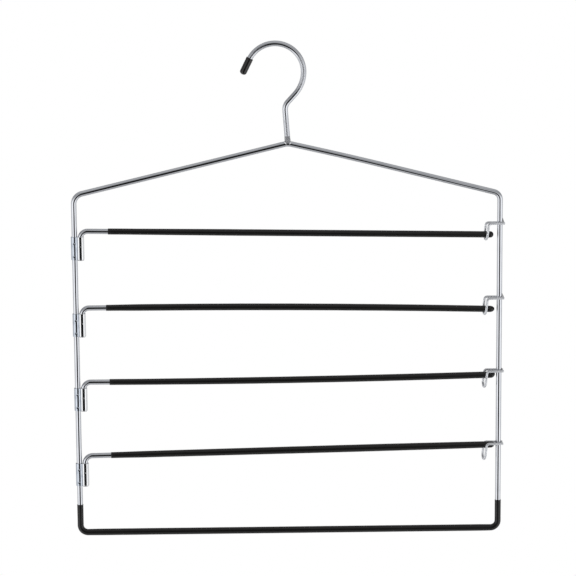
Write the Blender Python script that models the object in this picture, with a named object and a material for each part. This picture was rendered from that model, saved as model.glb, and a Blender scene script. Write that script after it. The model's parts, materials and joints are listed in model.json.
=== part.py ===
"""Swing-arm trouser rack.

A peaked loop of chromed wire hangs by a hook from a wardrobe rail. Four arms of thinner
wire hinge on its left side in rolled strip brackets, and their vinyl-covered bars lie in
wire rests on its right side. The bottom bar of the loop is the fifth place to hang from.

X runs to the right, Y away from the front, Z up. The origin is the crown of the hook's
inside, where the rail carries the rack. All sizes are in metres, all angles in degrees.
"""

from math import atan2, ceil, cos, pi, radians, sin, sqrt, tan

import bmesh
import bpy
from mathutils import Matrix, Vector

# Frame: one wire bent to a peaked loop and butt-welded under the bottom sleeve
FRAME_WIRE = 0.0048             # wire diameter
FRAME_WIDTH = 0.3641            # between the centre lines of the side wires
PEAK_SHIFT = 0.0009             # hand-bent: the peak stands this far right of the middle
SHOULDER_DROP = 0.04395         # peak down to the shoulder corners, on average
SHOULDER_TILT = 0.0008          # left shoulder higher by this, right one lower
SHOULDER_BOW = 0.0008           # corner of the long bend in the right slope, off its straight
SHOULDER_BOW_PLACE = 0.28       # where along that slope, as a share
BOTTOM_DROP = 0.06865           # lowest tier down to the bottom bar
PEAK_BEND = 0.0120              # bend radii, on the centre line
SHOULDER_BEND = 0.0070
BOTTOM_BEND = 0.0065

# Hook: welded on top of the peak
HOOK_WIRE = 0.0048
HOOK_BORE = 0.0436              # inside diameter of the crook
HOOK_OFFSET = 0.0095            # crook's centre to the middle plane of the frame
HOOK_RISE = 0.03925             # peak of the frame's centre line up to the crook's bore
HOOK_TAIL = 0.0116              # straight tail at the open end
TAIL_ANGLE = 154                # where the crook runs out into the tail, turning from +X
RUNOUT_BEND = 0.0282            # wider bend of the crook's lower right, on the centre line
NECK_ANGLE = -42.6              # where that bend runs out into the neck
NECK_BEND = 0.0095
STEM_LEAN = 4.2                 # the stem leans this far off the vertical
FOOT_SWELL = 0.0004             # how much the welded foot stands proud of the stem
FOOT_HEIGHT = 0.0060            # start of the foot above the peak's centre line
FOOT_SHOULDER = 0.0030          # widest place of the foot above that line

# Tiers, from the top: each has a hinge bracket, an arm and a rest, set and bent by hand
FIRST_TIER_DROP = 0.03005       # shoulder corners down to the top arm, at its hinge
TIER_PITCH = 0.0659
HINGE_SHIFTS = (0.0, -0.0011, -0.0004, -0.0001)     # hinge end of each arm off the even pitch
REST_RISES = (0.0037, 0.0055, 0.0064, 0.0076)       # strands of each rest above that end
ARM_LIFTS = (0.0, 0.0, 0.0063, 0.0084)              # each arm above the floor of its rest
ARM_BOWS = (0.0, 0.0014, -0.0012, 0.0)              # each bar's middle above its ends

# Arms: a downturned pin at the hinge, then a long bar
ARM_WIRE = 0.0045
ARM_BENDS = (0.0060, 0.0060, 0.0063, 0.0066)        # bends at the pins, on the centre line
ARM_TIP_GAPS = (0.0031, 0.0018, 0.0009, 0.0009)     # ends of the covered bars to the side wire
PIN_HEAD = 0.0004               # peened head under the bracket: height, and spread in radius
PIN_HEAD_SPREAD = 0.0005

# Hinge brackets: a strip rolled round the side wire and the pin
BRACKET_PLATE = 0.0006          # thickness of the strip
BRACKET_HEIGHT = 0.0199
BRACKET_DROPS = (0.0048, 0.0048, 0.0051, 0.0064)    # bars' centre lines down to the tops
HINGE_GAP = 0.0004              # side wire to the pin, face to face
BRACKET_GROOVE = 0.0009         # outer radius of the grooves between the two barrels
BRACKET_SEAM = 0.0004           # gap between the strip's two ends, in the groove behind
STAKE_RADIUS = 0.0013           # ball of the staking punch
STAKE_DEPTH = 0.0003
PIN_STAKE_DROP = 0.0085         # top of the bracket down to the stake on the pin barrel
SIDE_STAKE_DROP = 0.0058        # and to the upper one on the side wire's barrel
SIDE_STAKE_RISE = 0.0028        # bottom of the bracket up to the lower one there

# Rests: a stirrup of thin wire, open at the top, welded astride the right side wire
REST_WIRE = 0.0021
REST_DEPTH = 0.0130             # strands down to the floor of the stirrup
REST_REACHES = (0.0106, 0.0113, 0.0112, 0.0111)     # side wire's centre line to the legs
REST_TILTS = (0.0013, 0.0, 0.0, 0.0)                # rear strand below the front one
REST_TAIL = 0.0040              # side wire's centre line to the cut ends
REST_BEND = 0.0024
REST_FLAT = 0.0001              # straight left on each side of the floor's middle
REST_SKEW = 0.0017              # front leg stands this much nearer the side wire
REST_LEAN = 6.5                 # the legs lean away from the side wire

# Vinyl coverings
ARM_COAT = 0.00050              # walls
ARM_MOUTH_COAT = 0.00027        # thinner where the arm's covering starts
ARM_MOUTH_RUN = 0.0300          # and as thick as the rest from here on
BOTTOM_COAT = 0.00040
CAP_COAT = 0.00055
ARM_SLEEVE_STARTS = (0.0237, 0.0208, 0.0226, 0.0228)    # pins' centre lines to the coverings
SLEEVE_TURN_UP = 0.0252         # how far the bottom sleeve climbs the side wires
CAP_LENGTH = 0.0152
TIP_NOSE = 0.0030               # solid, rounded nose beyond the end of a covered wire
CAP_NOSE = 0.0022
LIP_ROUND = 0.00015             # rounding of a covering's open edge

# Fits, as gaps on each side
COAT_FIT = 0.00012              # covering on its wire
SIDE_FIT = 0.00015              # bracket on the side wire
PIN_FIT = 0.00030               # bracket round the pin, which turns
WELD_GAP = 0.00025              # welded wires, face to face
REST_FIT = 0.00045              # covered arm between the legs of its rest
SEAT_GAP = 0.00030              # arm over the floor of its rest, head under the bracket
END_GAP = 0.00015               # end of a covered wire, inside its covering
END_ROUND = 0.0003              # rounding of cut wire ends

# Facets
WIRE_SIDES = 16
REST_SIDES = 12
BEND_STEP = radians(13)
LEAST_STEPS = 4
PLATE_STEP = radians(16)
NOSE_RINGS = 5
STAKE_FACETS = 12
SHARP_ANGLE = radians(40)       # edges sharper than this stay creased
SAME_POINT = 0.000001           # distances under this are none

# Places that follow from these sizes
FRAME_X = HOOK_OFFSET
LEFT_X = FRAME_X - FRAME_WIDTH / 2
RIGHT_X = FRAME_X + FRAME_WIDTH / 2
PEAK_Z = -HOOK_BORE - HOOK_RISE
SHOULDER_Z = PEAK_Z - SHOULDER_DROP
TIERS = len(HINGE_SHIFTS)
TIER_Z = [SHOULDER_Z - FIRST_TIER_DROP - TIER_PITCH * k for k in range(TIERS)]
BOTTOM_Z = TIER_Z[-1] - BOTTOM_DROP
SIDE_BARREL = FRAME_WIRE / 2 + SIDE_FIT + BRACKET_PLATE     # outer radii of the brackets
PIN_BARREL = ARM_WIRE / 2 + PIN_FIT + BRACKET_PLATE
HINGE_REACH = FRAME_WIRE / 2 + HINGE_GAP + ARM_WIRE / 2
PIN_X = LEFT_X + HINGE_REACH
ARM_RADIUS = ARM_WIRE / 2 + COAT_FIT + ARM_COAT
REST_X = [RIGHT_X - reach for reach in REST_REACHES]

# Finishes: colour, roughness, metallic
CHROME = ((0.80, 0.81, 0.83), 0.12, 1.0)
PLATE = ((0.74, 0.76, 0.80), 0.20, 1.0)
VINYL = ((0.012, 0.012, 0.013), 0.45, 0.0)

ACROSS = Vector((0, 1, 0))


def clear_scene():
    for item in list(bpy.data.objects):
        bpy.data.objects.remove(item, do_unlink=True)


def finish(name, colour, roughness, metallic):
    material = bpy.data.materials.new(name)
    material.use_nodes = True
    shader = material.node_tree.nodes["Principled BSDF"]
    shader.inputs["Base Color"].default_value = (*colour, 1)
    shader.inputs["Roughness"].default_value = roughness
    shader.inputs["Metallic"].default_value = metallic
    return material


def place(name, mesh, material, location=(0, 0, 0), parent=None):
    piece = bpy.data.objects.new(name, mesh)
    if not mesh.materials:
        mesh.materials.append(material)
    piece.location = location
    piece.parent = parent
    bpy.context.scene.collection.objects.link(piece)
    return piece


def to_mesh(name, shape):
    """Turn a finished bmesh into a smooth-shaded mesh whose faces point out."""
    bmesh.ops.recalc_face_normals(shape, faces=shape.faces)
    mesh = bpy.data.meshes.new(name)
    shape.to_mesh(mesh)
    shape.free()
    mesh.shade_smooth()
    mesh.set_sharp_from_angle(angle=SHARP_ANGLE)
    return mesh


def bent(corners, radii, closed=False):
    """Route of a bent wire: straight runs between corners, each rounded by its bend."""
    route = []
    last = len(corners) - 1
    for index, corner in enumerate(corners):
        if not closed and index in (0, last):
            route.append(corner.copy())
            continue
        back = (corners[index - 1] - corner).normalized()
        ahead = (corners[(index + 1) % len(corners)] - corner).normalized()
        half = back.angle(ahead) / 2
        centre = corner + (back + ahead).normalized() * (radii[index] / sin(half))
        spoke = corner + back * (radii[index] / tan(half)) - centre
        turn = pi - 2 * half
        steps = max(LEAST_STEPS, ceil(turn / BEND_STEP))
        axis = ahead.cross(back)
        for step in range(steps + 1):
            route.append(centre + Matrix.Rotation(turn * step / steps, 3, axis) @ spoke)
    return route


def distances(route):
    """Distance along the route to each of its points."""
    along = [0.0]
    for start, end in zip(route, route[1:]):
        along.append(along[-1] + (end - start).length)
    return along


def expand(profile, along):
    """Add the route's own points between the (distance, radius) pairs of a profile."""
    pairs = [profile[0]]
    for (start, first), (end, second) in zip(profile, profile[1:]):
        low, high = sorted((start, end))
        between = [s for s in along if low + SAME_POINT < s < high - SAME_POINT]
        if end < start:
            between.reverse()
        for s in between:
            share = (s - start) / (end - start)
            pairs.append((s, first + share * (second - first)))
        pairs.append((end, second))
    return pairs


class Carrier:
    """Carries a cross-section along a route without twisting it."""

    def __init__(self, route, normal, closed=False):
        self.route = route
        self.along = distances(route)
        ends = route[1:] + [route[0]] if closed else route[1:]
        self.runs = [(end - start).normalized() for start, end in zip(route, ends)]
        first = self.runs[0]
        self.normals = [(normal - first * normal.dot(first)).normalized()]
        for before, after in zip(self.runs, self.runs[1:]):
            turn = before.rotation_difference(after)
            self.normals.append(turn @ self.normals[-1])

    def frame(self, distance):
        """Point, direction and normal at a distance along the route."""
        for index, start in enumerate(self.along):
            if abs(distance - start) < SAME_POINT:
                before = self.runs[max(index - 1, 0)]
                after = self.runs[min(index, len(self.runs) - 1)]
                normal = self.normals[min(index, len(self.runs) - 1)]
                return self.route[index], (before + after).normalized(), normal
        index = max(i for i, s in enumerate(self.along[:-1]) if s < distance)
        point = self.route[index] + self.runs[index] * (distance - self.along[index])
        return point, self.runs[index], self.normals[index]


def ring(shape, point, direction, normal, radius, sides):
    """One round section, or a single point where the radius is nothing."""
    if radius <= 0:
        return [shape.verts.new(point)]
    across = (normal - direction * normal.dot(direction)).normalized()
    up = direction.cross(across)
    angles = (2 * pi * k / sides for k in range(sides))
    return [shape.verts.new(point + (across * cos(a) + up * sin(a)) * radius) for a in angles]


def join(shape, first, second):
    """Skin between two sections, either of which may be a single point."""
    sides = max(len(first), len(second))
    for k in range(sides):
        after = (k + 1) % sides
        corners = [first[k % len(first)], first[after % len(first)],
                   second[after % len(second)], second[k % len(second)]]
        shape.faces.new(list(dict.fromkeys(corners)))


def sweep(name, route, profile, normal=ACROSS, sides=WIRE_SIDES, hollow=False):
    """Solid of (distance, radius) pairs along a route.

    A solid profile starts and ends on the route itself, with radius 0. A hollow one
    runs along the outside and back along the bore, and closes on its own start.
    """
    shape = bmesh.new()
    carrier = Carrier(route, normal)
    rings = []
    for distance, radius in expand(profile, carrier.along):
        rings.append(ring(shape, *carrier.frame(distance), radius, sides))
    for first, second in zip(rings, rings[1:]):
        join(shape, first, second)
    if hollow:
        join(shape, rings[-1], rings[0])
    return to_mesh(name, shape)


def rod(length, radius):
    """Profile of a plain wire with rounded cut ends."""
    inner = radius - END_ROUND
    return [(0, 0), (0, inner), (END_ROUND, radius),
            (length - END_ROUND, radius), (length, inner), (length, 0)]


def covered_end(start, end, mouth, run, radius, bore, nose):
    """Profile of a covering with an open mouth at its start and a solid, rounded nose."""
    floor = end - nose + END_GAP
    profile = [(floor, 0), (floor, bore), (start, bore), (start, mouth - LIP_ROUND),
               (start + LIP_ROUND, mouth), (start + run, radius), (end - nose, radius)]
    for k in range(1, NOSE_RINGS):
        angle = pi / 2 * k / NOSE_RINGS
        profile.append((end - nose + nose * sin(angle), radius * cos(angle)))
    profile.append((end, 0))
    return profile


def frame_corners():
    """Peak, right shoulder, bottom right, bottom left, left shoulder."""
    peak = Vector((FRAME_X + PEAK_SHIFT, 0, PEAK_Z))
    right = [Vector((RIGHT_X, 0, SHOULDER_Z - SHOULDER_TILT)), Vector((RIGHT_X, 0, BOTTOM_Z))]
    left = [Vector((LEFT_X, 0, BOTTOM_Z)), Vector((LEFT_X, 0, SHOULDER_Z + SHOULDER_TILT))]
    return [peak] + right + left


def right_slope():
    """Corner and radius of the long bend in the slope from the peak to the right shoulder."""
    peak, shoulder = frame_corners()[:2]
    outward = (shoulder - peak).cross(ACROSS).normalized()
    crown = peak.lerp(shoulder, SHOULDER_BOW_PLACE) + outward * SHOULDER_BOW
    near = (crown - peak).length
    turn = (crown - peak).angle(shoulder - crown)
    return crown, (near - 2 * PEAK_BEND) / tan(turn / 2)


def make_frame(material):
    peak, *others = frame_corners()
    crown, long_bend = right_slope()
    bends = [PEAK_BEND, long_bend, SHOULDER_BEND, BOTTOM_BEND, BOTTOM_BEND, SHOULDER_BEND]
    route = bent([peak, crown, *others], bends, closed=True)
    shape = bmesh.new()
    carrier = Carrier(route, ACROSS, closed=True)
    rings = []
    for index, point in enumerate(route):
        direction = (carrier.runs[index - 1] + carrier.runs[index]).normalized()
        rings.append(ring(shape, point, direction, ACROSS, FRAME_WIRE / 2, WIRE_SIDES))
    for index, section in enumerate(rings):
        join(shape, rings[index - 1], section)
    place("frame_wire", to_mesh("frame_wire", shape), material)


def make_bottom_sleeve(material):
    """Vinyl on the bottom bar, turned up round both corners."""
    right_low, left_low = frame_corners()[2:4]
    top = BOTTOM_Z + SLEEVE_TURN_UP
    start = Vector((RIGHT_X, 0, top))
    end = Vector((LEFT_X, 0, top))
    route = bent([start, right_low, left_low, end], [0, BOTTOM_BEND, BOTTOM_BEND, 0])
    bore = FRAME_WIRE / 2 + COAT_FIT
    radius = bore + BOTTOM_COAT
    length = distances(route)[-1]
    profile = [(0, radius - LIP_ROUND), (LIP_ROUND, radius), (length - LIP_ROUND, radius),
               (length, radius - LIP_ROUND), (length, bore), (0, bore)]
    mesh = sweep("bottom_sleeve", route, profile, hollow=True)
    place("bottom_sleeve", mesh, material)


def upright_arc(centre, radius, start, end):
    """Points of an arc in the plane of the frame, between two angles turned from +X."""
    steps = ceil(abs(end - start) / BEND_STEP)
    angles = [start + (end - start) * k / steps for k in range(steps + 1)]
    return [centre + Vector((cos(a), 0, sin(a))) * radius for a in angles]


def hook_route():
    """From the open end of the tail, over the crook, down the neck and stem to the peak."""
    radius = (HOOK_BORE + HOOK_WIRE) / 2
    centre = Vector((0, 0, -HOOK_BORE / 2))
    wider = centre + Vector((radius - RUNOUT_BEND, 0, 0))
    start, end = radians(TAIL_ANGLE), radians(NECK_ANGLE)
    crook = upright_arc(centre, radius, start, 0)
    crook += upright_arc(wider, RUNOUT_BEND, 0, end)[1:]
    tail = crook[0] + Vector((-sin(start), 0, cos(start))) * HOOK_TAIL
    # The neck runs on along the crook's tangent until it meets the stem's line
    neck = Vector((sin(end), 0, -cos(end)))
    peak = frame_corners()[0]
    stem = Vector((-sin(radians(STEM_LEAN)), 0, cos(radians(STEM_LEAN))))
    offset = peak - crook[-1]
    reach = (offset.x * stem.z - offset.z * stem.x) / (neck.x * stem.z - neck.z * stem.x)
    bend = crook[-1] + neck * reach
    lower = bent([crook[-1], bend, peak], [0, NECK_BEND, 0])
    return [tail] + crook + lower[1:]


def make_hook(chrome, vinyl):
    route = hook_route()
    length = distances(route)[-1]
    radius = HOOK_WIRE / 2
    foot = radius + FOOT_SWELL
    profile = [(0, 0), (0, radius - END_ROUND), (END_ROUND, radius),
               (length - FOOT_HEIGHT, radius), (length - FOOT_SHOULDER, foot),
               (length, FRAME_WIRE / 2), (length, 0)]
    hook = place("hook_wire", sweep("hook_wire", route, profile), chrome)
    # The foot is cut to sit astride the frame wire, which it is welded to
    corners = frame_corners()
    saddle = bent([corners[-1], corners[0], right_slope()[0]], [0, PEAK_BEND, 0])
    span = distances(saddle)[-1]
    cut = FRAME_WIRE / 2 + WELD_GAP
    profile = [(0, 0), (0, cut), (span, cut), (span, 0)]
    cutter = place("foot_cutter", sweep("foot_cutter", saddle, profile), chrome)
    cut_away(hook, [cutter])

    bore = radius + COAT_FIT
    tail = route[2::-1]
    tail[-1] = tail[1] + (tail[-1] - tail[1]).normalized() * (HOOK_TAIL + CAP_NOSE)
    end = distances(tail)[-1]
    cap = bore + CAP_COAT
    profile = covered_end(end - CAP_LENGTH, end, cap, CAP_LENGTH / 2, cap, bore, CAP_NOSE)
    place("hook_tip_cap", sweep("hook_tip_cap", tail, profile), vinyl)


def cut_away(piece, cutters):
    """Subtract hidden cutters from a piece."""
    for cutter in cutters:
        cutter.hide_render = True
        cutter.display_type = "WIRE"
        modifier = piece.modifiers.new("cut", "BOOLEAN")
        modifier.operation = "DIFFERENCE"
        modifier.solver = "EXACT"
        modifier.object = cutter


def bracket_line():
    """Centre line of the rolled strip in plan, as (point, normal) pairs, seam to seam.

    Two barrels, round the side wire and round the pin, run into each other through a
    groove at the front and a groove at the back, where the strip's ends meet.
    """
    half = BRACKET_PLATE / 2
    side = SIDE_BARREL - half
    pin = PIN_BARREL - half
    groove = BRACKET_GROOVE + half
    # Centre of the groove's bend, which touches both barrels
    centre_x = (HINGE_REACH ** 2 + (side + groove) ** 2 - (pin + groove) ** 2) / (2 * HINGE_REACH)
    centre_y = sqrt((side + groove) ** 2 - centre_x ** 2)
    to_side = atan2(centre_y, centre_x)
    to_pin = atan2(centre_y, HINGE_REACH - centre_x)

    def arc(x, y, radius, start, end, outward):
        steps = max(2, ceil(abs(end - start) / PLATE_STEP))
        for k in range(1 if line else 0, steps + 1):
            angle = start + (end - start) * k / steps
            normal = Vector((cos(angle), sin(angle)))
            line.append((Vector((x, y)) + normal * radius, normal * outward))

    line = []
    seam = BRACKET_SEAM / 2 / groove
    arc(centre_x, centre_y, groove, 1.5 * pi - seam, pi + to_side, -1)
    arc(0, 0, side, to_side, 2 * pi - to_side, 1)
    arc(centre_x, -centre_y, groove, pi - to_side, to_pin, -1)
    arc(HINGE_REACH, 0, pin, -pi + to_pin, pi - to_pin, 1)
    arc(centre_x, centre_y, groove, 2 * pi - to_pin, 1.5 * pi + seam, -1)
    return line


def bracket_mesh():
    """The strip, standing down from its top edge, before it is staked."""
    shape = bmesh.new()
    pairs = []
    for point, normal in bracket_line():
        offset = normal * BRACKET_PLATE / 2
        pairs.append([shape.verts.new((*(point + side * offset), 0)) for side in (-1, 1)])
    for (inner, outer), (next_inner, next_outer) in zip(pairs, pairs[1:]):
        shape.faces.new((inner, outer, next_outer, next_inner))
    bottom = bmesh.ops.extrude_face_region(shape, geom=shape.faces[:])
    moved = [item for item in bottom["geom"] if isinstance(item, bmesh.types.BMVert)]
    bmesh.ops.translate(shape, verts=moved, vec=(0, 0, -BRACKET_HEIGHT))
    return to_mesh("hinge_bracket", shape)


def stake(name, x, barrel, drop, bracket, material):
    """Ball of the punch that stakes the front of a barrel."""
    shape = bmesh.new()
    bmesh.ops.create_uvsphere(shape, u_segments=STAKE_FACETS, v_segments=STAKE_FACETS // 2 + 1,
                              radius=STAKE_RADIUS)
    front = barrel + STAKE_RADIUS - STAKE_DEPTH
    return place(name, to_mesh(name, shape), material, (x, -front, -drop), bracket)


def make_bracket(tier, top, mesh, material):
    bracket = place(f"hinge_bracket_{tier}", mesh, material, (LEFT_X, 0, top))
    marks = {"pin": (HINGE_REACH, PIN_BARREL, PIN_STAKE_DROP),
             "upper": (0, SIDE_BARREL, SIDE_STAKE_DROP),
             "lower": (0, SIDE_BARREL, BRACKET_HEIGHT - SIDE_STAKE_RISE)}
    cut_away(bracket, [stake(f"{mark}_stake_{tier}", *place_of, bracket, material)
                       for mark, place_of in marks.items()])


def arm_corners(tier, seat):
    """Foot of the pin, elbow, middle of a bowed bar, and tip, about the elbow."""
    length = RIGHT_X - FRAME_WIRE / 2 - ARM_TIP_GAPS[tier - 1] - PIN_X
    pin = BRACKET_DROPS[tier - 1] + BRACKET_HEIGHT + SEAT_GAP + PIN_HEAD
    foot = Vector((0, 0, -pin))
    elbow = Vector((0, 0, 0))
    tip = Vector((length, 0, length * seat / (REST_X[tier - 1] - PIN_X)))
    bend = ARM_BENDS[tier - 1]
    bow = ARM_BOWS[tier - 1]
    if not bow:
        return [foot, elbow, tip], [0, bend, 0]
    # One long bend from near the elbow to near the tip, half as high as its corner
    crown = tip / 2 + Vector((0, 0, 2 * bow))
    long_bend = (length / 2 - 2 * bend) * length / 2 / abs(2 * bow)
    return [foot, elbow, crown, tip], [0, bend, long_bend, 0]


def make_arm(tier, z, seat, chrome, vinyl):
    """Arm wire and its covering, about the pin's centre line at the height of the bar."""
    axis = bpy.data.objects.new(f"swing_axis_{tier}", None)
    axis.location = (PIN_X, 0, z)
    bpy.context.scene.collection.objects.link(axis)

    corners, bends = arm_corners(tier, seat)
    route = bent(corners, bends)
    length = distances(route)[-1]
    wire_end = length - TIP_NOSE
    radius = ARM_WIRE / 2
    head = radius + PIN_HEAD_SPREAD
    profile = [(0, 0), (0, radius), (PIN_HEAD / 2, head), (PIN_HEAD, radius),
               (wire_end - END_ROUND, radius), (wire_end, radius - END_ROUND), (wire_end, 0)]
    place(f"arm_wire_{tier}", sweep(f"arm_wire_{tier}", route, profile), chrome, parent=axis)

    start = length - (corners[-1].length - ARM_SLEEVE_STARTS[tier - 1])
    bore = radius + COAT_FIT
    profile = covered_end(start, length, bore + ARM_MOUTH_COAT, ARM_MOUTH_RUN, ARM_RADIUS, bore,
                          TIP_NOSE)
    mesh = sweep(f"arm_sleeve_{tier}", route, profile)
    place(f"arm_sleeve_{tier}", mesh, vinyl, parent=axis)


def rest_mesh(reach, tilt):
    """One stirrup about the side wire's centre line, at the height of its front strand."""
    strand = FRAME_WIRE / 2 + WELD_GAP + REST_WIRE / 2
    leg = ARM_RADIUS + REST_FIT + REST_WIRE / 2
    flare = (leg - strand) / reach
    drop = REST_DEPTH + REST_WIRE / 2
    lean = drop * tan(radians(REST_LEAN))
    sides = []
    for face, skew, drop_by in ((-1, REST_SKEW / 2, 0), (1, -REST_SKEW / 2, tilt)):
        x = -reach + skew
        end = Vector((REST_TAIL, face * (strand - flare * REST_TAIL), -drop_by))
        corner = Vector((x, face * leg, -drop_by))
        low = Vector((x - lean, face * leg, -drop))
        sides.append([end, corner, low])
    front, rear = sides
    corners = front + rear[::-1]
    floor = (front[2] - rear[2]).length / 2 - REST_FLAT
    route = bent(corners, [0, REST_BEND, floor, floor, REST_BEND, 0])
    length = distances(route)[-1]
    return sweep("rest_stirrup", route, rod(length, REST_WIRE / 2), Vector((0, 0, 1)), REST_SIDES)


def build():
    clear_scene()
    make_frame(finish("frame_chrome", *CHROME))
    make_bottom_sleeve(finish("bottom_vinyl", *VINYL))
    make_hook(finish("hook_chrome", *CHROME), finish("cap_vinyl", *VINYL))
    arm_chrome = finish("arm_chrome", *CHROME)
    arm_vinyl = finish("arm_vinyl", *VINYL)
    plate = finish("bracket_plate", *PLATE)
    rest_chrome = finish("rest_chrome", *CHROME)
    bracket = bracket_mesh()
    for k in range(TIERS):
        tier = k + 1
        z = TIER_Z[k] + HINGE_SHIFTS[k]
        make_bracket(tier, z - BRACKET_DROPS[k], bracket, plate)
        seat = REST_RISES[k] - REST_DEPTH + SEAT_GAP + ARM_RADIUS + ARM_LIFTS[k]
        make_arm(tier, z, seat, arm_chrome, arm_vinyl)
        rest = rest_mesh(REST_REACHES[k], REST_TILTS[k])
        place(f"rest_stirrup_{tier}", rest, rest_chrome, (RIGHT_X, 0, z + REST_RISES[k]))


build()
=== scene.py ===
# %% [markdown]
# # A swing-arm trouser rack, finished for its portrait
# The rack is a peaked loop of chromed wire that hangs from a wardrobe rail. Four thinner arms hinge
# on its left side and lie in small wire rests on its right side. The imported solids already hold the
# structure and the joints, so this lesson loads them as a fixed frame and makes the finish: rounder
# wires, welds, staked hinge strips and dipped vinyl. A finer mesh stands in for each solid, in the
# same place and at the same size, so nothing has to be fitted afterwards.

# %% Load the frame
import json
from math import atan2, ceil, cos, degrees, pi, radians, sin, sqrt, tan

import bpy
from mathutils import Matrix, Vector, noise


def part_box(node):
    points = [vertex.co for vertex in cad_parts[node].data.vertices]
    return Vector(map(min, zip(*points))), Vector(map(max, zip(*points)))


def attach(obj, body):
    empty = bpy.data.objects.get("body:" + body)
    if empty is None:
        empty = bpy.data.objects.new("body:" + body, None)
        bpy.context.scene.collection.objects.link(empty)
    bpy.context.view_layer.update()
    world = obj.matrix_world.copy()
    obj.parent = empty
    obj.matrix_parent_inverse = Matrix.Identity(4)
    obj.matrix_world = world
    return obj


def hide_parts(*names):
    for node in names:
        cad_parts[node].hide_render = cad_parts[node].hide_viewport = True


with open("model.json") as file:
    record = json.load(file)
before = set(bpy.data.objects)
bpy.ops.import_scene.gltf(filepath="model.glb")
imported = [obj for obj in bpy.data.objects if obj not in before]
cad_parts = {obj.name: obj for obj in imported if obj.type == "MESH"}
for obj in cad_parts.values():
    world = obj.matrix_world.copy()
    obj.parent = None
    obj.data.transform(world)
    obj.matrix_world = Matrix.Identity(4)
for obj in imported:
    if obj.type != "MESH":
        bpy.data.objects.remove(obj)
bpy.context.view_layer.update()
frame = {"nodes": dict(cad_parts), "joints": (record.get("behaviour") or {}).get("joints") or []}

# %% [markdown]
# ## Places read from the frame
# A finish fits when it takes its places from what it covers. The loop's solid gives the wire's
# radius and the lines of the sides and the bottom bar. Each joint gives the centre of a hinge pin,
# at the height of its bar. The far end of each bar is the middle of its solid's last ring of points.

# %% Places
MM = 0.001
TIERS = (1, 2, 3, 4)
ACROSS = Vector((0, 1, 0))
UP = Vector((0, 0, 1))

loop_low, loop_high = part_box("frame_wire")
LOOP_R = (loop_high.y - loop_low.y) / 2
LEFT_X = loop_low.x + LOOP_R
RIGHT_X = loop_high.x - LOOP_R
MIDDLE_X = (LEFT_X + RIGHT_X) / 2
BOTTOM_Z = loop_low.z + LOOP_R
HINGES = {joint["child"]: Vector(joint["pos_m"]) for joint in frame["joints"]}


def half_depth(node):
    """Radius of a straight-lying piece, from front to back."""
    low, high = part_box(node)
    return (high.y - low.y) / 2


def far_end(node, depth=0.2 * MM):
    """Middle of the points that lie within a depth of a node's right-hand end."""
    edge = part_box(node)[1].x - depth
    ring = [v.co for v in frame["nodes"][node].data.vertices if v.co.x > edge]
    return sum(ring, Vector()) / len(ring)


BAR_ENDS = {tier: far_end(f"arm_wire_{tier}") for tier in TIERS}
print(f"side wires {(RIGHT_X - LEFT_X) / MM:.1f} mm apart, wire {2 * LOOP_R / MM:.1f} mm")

# %% [markdown]
# ## The camera
# The photograph looks at the rack almost square on, from eleven degrees above, through a long lens.
# One could push the camera about by eye. Here its turn, distance and lens are numbers that were
# fitted to the side wires, the shoulders and the bottom bar, so the picture lies over the photograph.

# %% Camera
AIM = Vector((9.7 * MM, 0, -208.1 * MM))
DISTANCE = 2.3711
TURN, RISE, ROLL = radians(1.0116), radians(11), radians(-0.4035)
LENS = 172.57


def make_camera():
    """The portrait camera, turned, raised and rolled about the point that it aims at."""
    ahead = Vector((sin(TURN) * cos(RISE), cos(TURN) * cos(RISE), -sin(RISE)))
    level = Vector((cos(TURN), -sin(TURN), 0))
    right = Matrix.Rotation(-ROLL, 3, ahead) @ level
    up = right.cross(ahead)
    lens = bpy.data.cameras.new("portrait")
    lens.lens = LENS
    camera = bpy.data.objects.new("portrait", lens)
    camera.matrix_world = Matrix((right, up, -ahead)).transposed().to_4x4()
    camera.location = AIM - ahead * DISTANCE
    bpy.context.scene.collection.objects.link(camera)
    bpy.context.scene.camera = camera
    return camera


print("camera at", [round(x, 3) for x in make_camera().location])

# %% [markdown]
# ## Shader maths in plain Python
# A finish such as worn chrome is a small sum: a base value, plus a little noise, minus a mask. In
# the node editor each plus sign is a node and two wires. A class that holds a socket and overloads
# the operators lets the sum be read as a sum, and one method makes every other kind of node.

# %% Sockets that take part in sums
# A Mix node has sockets for each kind of data: these are its mask, two colours and mixed colour
MIX_MASK, MIX_FIRST, MIX_SECOND, MIX_COLOUR = 0, 6, 7, 2


class Shade:
    """A socket in a node tree. A sum or product of two of them makes a Math node."""

    def __init__(self, tree, socket=None):
        self.tree = tree
        self.socket = socket

    def node(self, kind, settings, values, output=0):
        """Make a node: its settings first, then the values or links of its sockets."""
        made = self.tree.nodes.new(kind)
        for name, value in settings.items():
            setattr(made, name, value)
        for name, value in values.items():
            if isinstance(value, Shade):
                self.tree.links.new(value.socket, made.inputs[name])
            else:
                made.inputs[name].default_value = value
        return Shade(self.tree, made.outputs[output])

    def math(self, operation, *terms):
        return self.node("ShaderNodeMath", {"operation": operation}, dict(enumerate(terms)))

    def between(self, low, high):
        """A smooth step from 0 at low to 1 at high."""
        values = {"Value": self, "From Min": low, "From Max": high}
        return self.node("ShaderNodeMapRange", {"interpolation_type": "SMOOTHSTEP"}, values)

    def mix(self, first, second):
        """A colour that goes from first to second as this mask goes from 0 to 1."""
        values = {MIX_MASK: self, MIX_FIRST: first, MIX_SECOND: second}
        return self.node("ShaderNodeMix", {"data_type": "RGBA"}, values, MIX_COLOUR)

    def __add__(self, other):
        return self.math("ADD", self, other)

    def __radd__(self, other):
        return self.math("ADD", other, self)

    def __sub__(self, other):
        return self.math("SUBTRACT", self, other)

    def __rsub__(self, other):
        return self.math("SUBTRACT", other, self)

    def __mul__(self, other):
        return self.math("MULTIPLY", self, other)

    def __rmul__(self, other):
        return self.math("MULTIPLY", other, self)


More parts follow.
